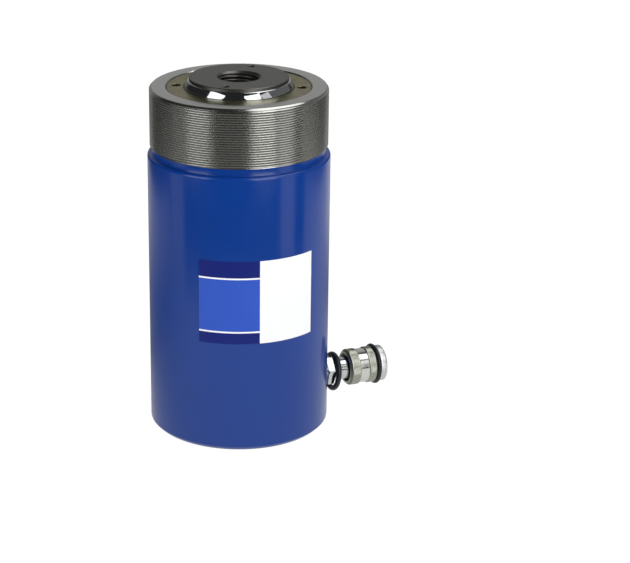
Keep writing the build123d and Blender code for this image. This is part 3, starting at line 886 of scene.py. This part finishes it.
@dataclass
class Coupler:
    """Half coupler on the oil port, its sleeve, dust cap and the two black rings."""

    shank_radius: float = 8.5 * MM
    shank_root_radius: float = 8.05 * MM
    shank_relief: float = 1.5 * MM
    hex_start: float = 85.0 * MM
    hex_end: float = 91.2 * MM
    hex_across_flats: float = 25.4 * MM
    hex_chamfer: float = 1.0 * MM
    hex_edge: float = 0.25 * MM
    hex_turn: float = 12.0
    seat_radius: float = 11.2 * MM
    seat_end: float = 97.6 * MM
    neck_radius: float = 10.6 * MM
    groove_start: float = 104.7 * MM
    groove_width: float = 0.7 * MM
    groove_depth: float = 0.3 * MM
    snap_groove_start: float = 109.2 * MM
    snap_groove_width: float = 0.9 * MM
    snap_groove_depth: float = 0.6 * MM
    shoulder_start: float = 112.7 * MM
    shoulder_end: float = 115.7 * MM
    shoulder_radius: float = 13.2 * MM
    nose_end: float = 127.5 * MM
    nose_chamfer: float = 0.8 * MM
    valve_radius: float = 5.6 * MM
    throat_radius: float = 4.0 * MM
    throat_start: float = 109.6 * MM
    socket_start: float = 113.0 * MM
    socket_radius: float = 6.6 * MM
    seal_groove_place: float = 120.8 * MM
    seal_groove_width: float = 2.4 * MM
    seal_groove_depth: float = 1.8 * MM
    sleeve_radius: float = 17.1 * MM
    sleeve_back_chamfer: float = 2.0 * MM
    sleeve_front_chamfer: float = 0.6 * MM
    recess_radius: float = 13.3 * MM
    recess_depth: float = 4.0 * MM
    recess_chamfer: float = 0.3 * MM
    lip_length: float = 2.3 * MM
    lip_play: float = 0.3 * MM
    sleeve_minor_radius: float = 14.0 * MM
    sleeve_major_radius: float = 14.8 * MM
    sleeve_pitch: float = INCH / 14
    band_start: float = 10.7 * MM
    band_length: float = 8.2 * MM
    band_radius: float = 16.0 * MM
    band_slope: float = 0.55 * MM
    knurls_round: int = 100
    knurl_depth: float = 0.20 * MM
    knurl_length: float = 1.3
    cap_radius: float = 16.9 * MM
    cap_length: float = 6.6 * MM
    cap_round: float = 1.2 * MM
    cap_dish_radius: float = 12.0 * MM
    cap_dish_depth: float = 1.2 * MM
    cap_plug_radius: float = 13.7 * MM
    cap_plug_wall: float = 2.4 * MM
    cap_plug_chamfer: float = 0.8 * MM
    cap_hollow_depth: float = 10.0 * MM
    cap_seat_radius: float = 15.35 * MM
    cap_seat_gap: float = 0.15 * MM
    cap_flutes: int = 72
    cap_flute_depth: float = 0.22 * MM
    cap_ring_wire: float = 3.6 * MM
    tether_wire: float = 5.1 * MM
    tether_lean: float = 6.0

    def body_shape(self) -> Shape:
        """Shank, hexagon, ring seat, neck, shoulder and nose, bored for the valve and the socket."""
        start = span("coupler_body", "x")[0]
        neck, end, chamfer = self.neck_radius, self.nose_end, self.nose_chamfer
        shape = Shape.turned([
            (0, start), (self.shank_root_radius, start),
            (self.shank_radius, self.hex_start - self.shank_relief), (self.shank_radius, self.hex_start),
            (self.seat_radius, self.hex_start),
            (self.seat_radius, self.seat_end), (neck, self.seat_end),
            *notch(neck, neck - self.groove_depth, self.groove_start, self.groove_start + self.groove_width),
            *notch(neck, neck - self.snap_groove_depth, self.snap_groove_start,
                   self.snap_groove_start + self.snap_groove_width),
            *notch(neck, self.shoulder_radius, self.shoulder_start, self.shoulder_end),
            (neck, end - chamfer), (neck - chamfer, end), (0, end),
        ], SMALL_ROUND)
        shape.combine(self.hexagon_shape(), Join.FUSE)
        return shape.combine(self.bore_shape(start), Join.CUT).on_port()

    def hexagon_shape(self) -> Shape:
        """Hexagon with both faces chamfered off its corners, and softened edges."""
        start, end, chamfer = self.hex_start, self.hex_end, self.hex_chamfer
        corner = self.hex_across_flats / 2 / math.cos(math.pi / 6)
        shape = Shape()
        bmesh.ops.create_cone(
            shape.mesh, cap_ends=True, cap_tris=False, segments=6, radius1=corner, radius2=corner,
            depth=end - start, matrix=Matrix.Translation((0, 0, (end + start) / 2)),
        )
        shape.place(Matrix.Rotation(math.radians(-self.hex_turn), 4, "Z"))
        upright = [edge for edge in shape.mesh.edges if abs(edge.verts[0].co.z - edge.verts[1].co.z) > NEAR]
        shape.bevel(upright, self.hex_edge, 3)
        cone = Shape.turned([
            (0, start), (corner - chamfer, start), (corner, start + chamfer / 2), (corner, end - chamfer / 2),
            (corner - chamfer, end), (0, end),
        ], SMALL_ROUND)
        return shape.combine(cone, Join.COMMON)

    def bore_shape(self, start: float) -> Shape:
        """Valve bore, throat and socket with its seal groove, from the shank's start."""
        valve, throat, socket = self.valve_radius, self.throat_radius, self.socket_radius
        half, end = self.seal_groove_width / 2, self.nose_end
        return Shape.turned([
            (0, start - PAST), (valve, start - PAST), (valve, self.throat_start - (valve - throat)),
            (throat, self.throat_start), (throat, self.socket_start), (socket, self.socket_start),
            *notch(socket, socket + self.seal_groove_depth, self.seal_groove_place - half,
                   self.seal_groove_place + half),
            (socket, end - self.nose_chamfer), (socket + self.nose_chamfer + PAST, end + PAST), (0, end + PAST),
        ], SMALL_ROUND)

    def knurl_rows(self, start: float, end: float) -> list[float]:
        """Heights of a knurled band's rows, half a diamond apart, for diamonds a little longer than wide."""
        half = TURN * self.sleeve_radius / self.knurls_round / 2 * self.knurl_length
        count = 2 * round((end - start) / half / 2)
        return [start + (end - start) * k / count for k in range(count + 1)]

    def sleeve_shape(self) -> Shape:
        """Sleeve with two diamond-knurled bands, a smooth band, a deep back recess and its thread.

        Returns:
            The sleeve, with the second finish on the smooth band and the third, rougher nickel darkened as
            painted shade, on the back chamfer.
        """
        start, end = span("coupler_sleeve", "x")
        radius, band, major = self.sleeve_radius, self.band_radius, self.sleeve_major_radius
        recess, bevel, lip = self.recess_radius, self.recess_chamfer, self.neck_radius + self.lip_play
        chamfer_end = start + self.sleeve_back_chamfer
        band_low, band_high = start + self.band_start, start + self.band_start + self.band_length
        back = self.knurl_rows(chamfer_end, band_low - self.band_slope)
        front = self.knurl_rows(band_high + self.band_slope, end - self.sleeve_front_chamfer)
        lip_start = start + self.recess_depth
        lip_end = lip_start + self.lip_length
        mouth = major + HAIR
        shape = Shape.turned([
            (recess + bevel, start), (radius - self.sleeve_back_chamfer, start),
            *[(radius, row) for row in back], (band, band_low), (band, band_high),
            *[(radius, row) for row in front], (radius - self.sleeve_front_chamfer, end), (mouth, end),
            (major, end - HAIR), (major, lip_end), (lip, lip_end), (lip, lip_start), (recess, lip_start),
            (recess, start + bevel),
        ], 2 * self.knurls_round)
        self.cut_knurl(shape, back)
        self.cut_knurl(shape, front)
        shape.paint_where(1, lambda at: band_low < at.z < band_high and at.xy.length > band - HAIR)
        # The back chamfer takes nickel darkened as painted shade, since it lies in shadow.
        shape.paint_where(2, lambda at: start < at.z < chamfer_end and at.xy.length > recess + bevel)
        return shape.add(Shape.thread(major, self.sleeve_minor_radius, self.sleeve_pitch, (lip_end, end),
                                      (major, mouth), SMALL_ROUND)).on_port()

    def cut_knurl(self, shape: Shape, rows: list[float]) -> None:
        """Press every other point of a band inwards and crease the quads between, which leaves diamonds.

        Args:
            shape: The sleeve, still about Z.
            rows: Heights of the band's rows.
        """
        step = TURN / (2 * self.knurls_round)
        low = []
        for vert in shape.mesh.verts:
            row = min(range(len(rows)), key=lambda k: abs(rows[k] - vert.co.z))
            if abs(rows[row] - vert.co.z) > NEAR or vert.co.xy.length < self.sleeve_radius - NEAR:
                continue
            column = round(math.atan2(vert.co.y, vert.co.x) / step)
            if (row + column) % 2 or row in (0, len(rows) - 1):
                factor = (self.sleeve_radius - self.knurl_depth) / vert.co.xy.length
                vert.co.x, vert.co.y = vert.co.x * factor, vert.co.y * factor
                low.append(vert)
        bmesh.ops.connect_verts(shape.mesh, verts=low, faces_exclude=[], check_degenerate=False)

    def cap_shape(self) -> Shape:
        """Dust cap: hollow plug, ring seat and a fluted flange with a dished front."""
        seat_start = span("coupler_sleeve", "x")[1] + self.cap_seat_gap
        plug_start, cap_end = span("dust_cap", "x")
        cap_start, dish_end = cap_end - self.cap_length, cap_end - self.cap_dish_depth
        plug, hollow_end = self.cap_plug_radius, plug_start + self.cap_hollow_depth
        shape = Shape.turned([
            (plug - self.cap_plug_wall, plug_start), (plug - self.cap_plug_chamfer, plug_start),
            (plug, plug_start + self.cap_plug_chamfer), (plug, seat_start),
            (self.cap_seat_radius, seat_start), (self.cap_seat_radius, cap_start),
            (self.cap_radius, cap_start), (self.cap_radius, cap_end), (self.cap_dish_radius, cap_end),
            (self.cap_dish_radius - self.cap_dish_depth, dish_end), (0, dish_end), (0, hollow_end),
            (plug - self.cap_plug_wall, hollow_end),
        ], 4 * self.cap_flutes)
        for height in (cap_start, cap_end):
            shape.round_edge(self.cap_radius, height, self.cap_round, 5)
        for vert in shape.mesh.verts:
            radius = vert.co.xy.length
            if radius < self.cap_radius - self.cap_round / 2 or vert.co.z < cap_start:
                continue
            turn = math.atan2(vert.co.y, vert.co.x) * self.cap_flutes
            depth = self.cap_flute_depth * (1 - math.cos(turn)) / 2
            vert.co.x, vert.co.y = vert.co.x * (1 - depth / radius), vert.co.y * (1 - depth / radius)
        return shape.on_port()

    def cap_ring_shape(self) -> Shape:
        """Rubber ring between sleeve and cap."""
        low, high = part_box("dust_cap_ring")
        return Shape.ring_of_wire((high.y - low.y) / 2, self.cap_ring_wire, (low.x + high.x) / 2).on_port()

    def tether_ring_shape(self) -> Shape:
        """Loose rubber ring that hangs on its seat, with its foot leaning to the barrel."""
        low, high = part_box("tether_ring")
        ring = Shape.ring_of_wire((high.y - low.y) / 2, self.tether_wire, 0)
        ring.place(Matrix.Rotation(math.radians(self.tether_lean + 90), 4, "Y"))
        return ring.place(Matrix.Translation((low + high) / 2))

    def build(self, shop: Assembler) -> None:
        """Make the coupler's pieces."""
        shop.piece("coupler_half", self.body_shape(), Body.CYLINDER, ["bright_zinc"],
                   ["coupler_body"])
        # The sleeve's third finish is nickel darkened as painted shade for its shaded back chamfer.
        shop.piece("sleeve", self.sleeve_shape(), Body.SLEEVE,
                   ["satin_nickel", "bright_nickel", "dull_nickel"], ["coupler_sleeve"])
        shop.piece("cap", self.cap_shape(), Body.DUST_CAP, ["cast_aluminium"], ["dust_cap"])
        shop.piece("cap_ring", self.cap_ring_shape(), Body.DUST_CAP, ["black_rubber"],
                   ["dust_cap_ring"])
        shop.piece("loose_ring", self.tether_ring_shape(), Body.TETHER_RING, ["black_rubber"],
                   ["tether_ring"])


@dataclass
class InnerParts:
    """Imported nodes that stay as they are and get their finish, and the return spring."""

    def finishes(self) -> dict[str, list[str]]:
        """Nodes that take each finish."""
        return {
            "turned_steel": ["centre_tube", "piston", "poppet_stop"],
            "black_oxide": ["gland_lock_screw", "piston_lock_screw"],
            "bronze": ["rod_bearing"],
            "spring_steel": ["coupler_snap_ring", "poppet_spring"],
            "bright_zinc": ["coupler_poppet"],
            "black_rubber": ["centre_tube_oring", "socket_seal", "poppet_seal"],
            "white_ptfe": ["centre_tube_backup", "piston_backup", "piston_inner_backup"],
            "amber_polyurethane": ["piston_seal", "piston_inner_seal"],
            "phenolic": ["piston_wear_ring", "piston_inner_wear_ring"],
        }

    def spring(self, shop: Assembler) -> None:
        """Return spring, shaped as its node, as a piece on the cylinder."""
        shape = Shape()
        shape.mesh.from_mesh(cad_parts["return_spring"].data)
        made = shop.piece("pressed_spring", shape, Body.CYLINDER, ["spring_steel"],
                          ["return_spring"])
        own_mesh(made)

    def build(self, shop: Assembler) -> None:
        """Dress every node and make the spring."""
        for finish, nodes in self.finishes().items():
            for node in nodes:
                shop.dress(node, finish)
        self.spring(shop)


@dataclass(frozen=True)
class Softbox:
    """A lit panel that faces the object, placed by angles seen from it."""

    name: str
    azimuth: float
    elevation: float
    width: float
    height: float
    radiance: float


@dataclass
class Studio:
    """White table, dark room with softboxes, and the camera."""

    camera_place: Point = (-0.61207, -1.68164, 0.79432)
    camera_tilt: float = 69.6835
    camera_turn: float = -20.0
    sensor: float = 36.0
    lens: float = 119.757
    shift: Ends = (0.1207, 0.0008)
    target: Point = (0.0, 0.0, 0.2)
    softbox_distance: float = 1.1
    floor_half: float = 8.0
    floor_drop: float = 0.0002
    floor_colour: str = "#F4F4F4"
    floor_roughness: float = 0.9
    floor_glow: float = 1.17
    shown_share: float = 0.8
    bounced_share: float = 0.35
    table_radius: float = 0.53
    table_fade: float = 0.15
    table_glow: float = 0.72
    table_light: float = 26.0
    table_dim: float = 0.3
    dim_place: float = -0.2
    bright_place: float = 0.05
    ambient: float = 0.32
    room: float = 0.03
    backdrop: float = 0.5
    backdrop_angles: Ends = (180, 25)
    backdrop_edge: Ends = (0.72, 0.95)
    softboxes: tuple[Softbox, ...] = (
        Softbox("right_softbox", 31, 20, 0.58, 0.96, 3.0),
        Softbox("right_fill", 61, 10, 0.40, 1.24, 0.8),
        Softbox("right_wall", 124, -21.5, 1.60, 0.38, 0.72),
        Softbox("right_veil", 104, 26, 1.25, 0.90, 0.13),
        Softbox("left_softbox", -52, 20, 0.62, 0.96, 2.15),
        Softbox("left_fill", -80, -17, 0.40, 0.42, 0.55),
        Softbox("left_wall", -128, -22.5, 1.50, 0.36, 0.5),
        Softbox("top_softbox", 78, 63, 0.90, 0.62, 2.2),
    )

    def direction(self, azimuth: float, elevation: float) -> Vector:
        """Direction from the object, with azimuth in degrees from the camera towards its right."""
        turn = math.radians(self.camera_turn + azimuth - 90)
        lift = math.radians(elevation)
        return Vector((math.cos(turn) * math.cos(lift), math.sin(turn) * math.cos(lift), math.sin(lift)))

    def lamp(self, box: Softbox) -> None:
        """Add a softbox as an area light that the camera doesn't see.

        Args:
            box: The softbox.
        """
        data = bpy.data.lights.new(box.name, "AREA")
        data.shape, data.size, data.size_y = "RECTANGLE", box.width, box.height
        data.energy = box.radiance * math.pi * box.width * box.height
        item = bpy.data.objects.new(box.name, data)
        away = self.direction(box.azimuth, box.elevation)
        item.location = Vector(self.target) + away * self.softbox_distance
        item.rotation_euler = away.to_track_quat("Z", "Y").to_euler()
        item.visible_camera = False
        bpy.context.scene.collection.objects.link(item)

    def world(self) -> None:
        """White for the camera, a dark room with a lit backdrop in reflections, and plain ambient light."""
        world = bpy.data.worlds.new("studio")
        world.use_nodes = True
        tree = world.node_tree
        add = partial(add_node, tree)
        ambient = tree.nodes["Background"]
        ambient.inputs["Color"].default_value = WHITE
        ambient.inputs["Strength"].default_value = self.ambient
        behind = add("ShaderNodeVectorMath", {
            0: add("ShaderNodeTexCoord").outputs["Generated"], 1: self.direction(*self.backdrop_angles)},
            operation="DOT_PRODUCT")
        seen = add("ShaderNodeMapRange", {
            "Value": behind.outputs["Value"], "From Min": self.backdrop_edge[0],
            "From Max": self.backdrop_edge[1], "To Min": self.room, "To Max": self.backdrop})
        rays = add("ShaderNodeLightPath")
        shown = add("ShaderNodeBackground", {"Strength": seen})
        white = add("ShaderNodeBackground", {"Color": WHITE, "Strength": 1.0})
        first = add("ShaderNodeMixShader", {0: self.shiny(tree, rays), 1: ambient, 2: shown})
        second = add("ShaderNodeMixShader", {0: rays.outputs["Is Camera Ray"], 1: first, 2: white})
        tree.links.new(second.outputs[0], tree.nodes["World Output"].inputs["Surface"])
        bpy.context.scene.world = world

    def shiny(self, tree: Tree, rays: Node) -> Node:
        """1 for a ray that shows the surroundings in a shiny surface or through a clear one."""
        return add_node(tree, "ShaderNodeMath", {
            0: rays.outputs["Is Glossy Ray"], 1: rays.outputs["Is Transmission Ray"]}, operation="MAXIMUM")

    def floor(self) -> None:
        """Plain white floor with the object's shadow, which shows in reflections as a table and then ends."""
        shape = Shape()
        bmesh.ops.create_grid(shape.mesh, x_segments=1, y_segments=1, size=self.floor_half,
                              matrix=Matrix.Translation((0, 0, -self.floor_drop)))
        data = bpy.data.meshes.new("floor")
        shape.mesh.to_mesh(data)
        shape.mesh.free()
        item = bpy.data.objects.new("floor", data)
        bpy.context.scene.collection.objects.link(item)
        data.materials.append(self.floor_material())

    def floor_material(self) -> bpy.types.Material:
        """Matt white that mostly glows for the camera, so that it comes out white.

        Shiny rays and shadow rays find a glowing table in its place, dimmer on the side away from its
        light, that ends in the dark room.

        Returns:
            The material.
        """
        made = bpy.data.materials.new("white_floor")
        made.use_nodes = True
        tree = made.node_tree
        add = partial(add_node, tree)
        matt = tree.nodes["Principled BSDF"]
        matt.inputs["Base Color"].default_value = linear(self.floor_colour)
        matt.inputs["Roughness"].default_value = self.floor_roughness
        rays = add("ShaderNodeLightPath")
        share = add("ShaderNodeMapRange", {
            "Value": rays.outputs["Is Camera Ray"], "To Min": self.bounced_share, "To Max": self.shown_share})
        glow = add("ShaderNodeEmission", {"Strength": self.floor_glow})
        lit = add("ShaderNodeMixShader", {0: share, 1: matt, 2: glow})
        place = add("ShaderNodeTexCoord").outputs["Object"]
        far = add("ShaderNodeVectorMath", {0: place}, operation="LENGTH")
        past = add("ShaderNodeMapRange", {
            "Value": far.outputs["Value"], "From Min": self.table_radius - self.table_fade,
            "From Max": self.table_radius + self.table_fade})
        lit_side = add("ShaderNodeVectorMath", {
            0: place, 1: self.direction(self.table_light, 0)}, operation="DOT_PRODUCT")
        dimmed = add("ShaderNodeMapRange", {
            "Value": lit_side.outputs["Value"], "From Min": self.dim_place, "From Max": self.bright_place,
            "To Min": self.table_dim * self.table_glow, "To Max": self.table_glow})
        table = add("ShaderNodeEmission", {"Strength": dimmed})
        gone = add("ShaderNodeBsdfTransparent")
        mirrored = add("ShaderNodeMixShader", {0: past, 1: table, 2: gone})
        passing = add("ShaderNodeMath", {
            0: self.shiny(tree, rays), 1: rays.outputs["Is Shadow Ray"]}, operation="MAXIMUM")
        mix = add("ShaderNodeMixShader", {0: passing, 1: lit, 2: mirrored})
        tree.links.new(mix.outputs[0], tree.nodes["Material Output"].inputs["Surface"])
        return made

    def camera(self) -> None:
        """Camera at the photograph's place."""
        data = bpy.data.cameras.new("camera")
        data.sensor_width, data.lens = self.sensor, self.lens
        data.shift_x, data.shift_y = self.shift
        item = bpy.data.objects.new("camera", data)
        item.location = self.camera_place
        item.rotation_euler = (math.radians(self.camera_tilt), 0, math.radians(self.camera_turn))
        bpy.context.scene.collection.objects.link(item)
        bpy.context.scene.camera = item

    def build(self) -> None:
        """Set up the studio."""
        self.world()
        self.floor()
        for box in self.softboxes:
            self.lamp(box)
        self.camera()
        bpy.context.scene.view_settings.view_transform = "Standard"


def main() -> None:
    """Build every sub-assembly, the finishes of the inner parts and the studio."""
    logging.basicConfig(level=logging.INFO, format="%(name)s: %(message)s")
    shop = Assembler(Paintshop())
    for group in (Barrel(), Head(), Coupler(), InnerParts()):
        group.build(shop)
    Studio().build()


if __name__ == "__main__":
    main()
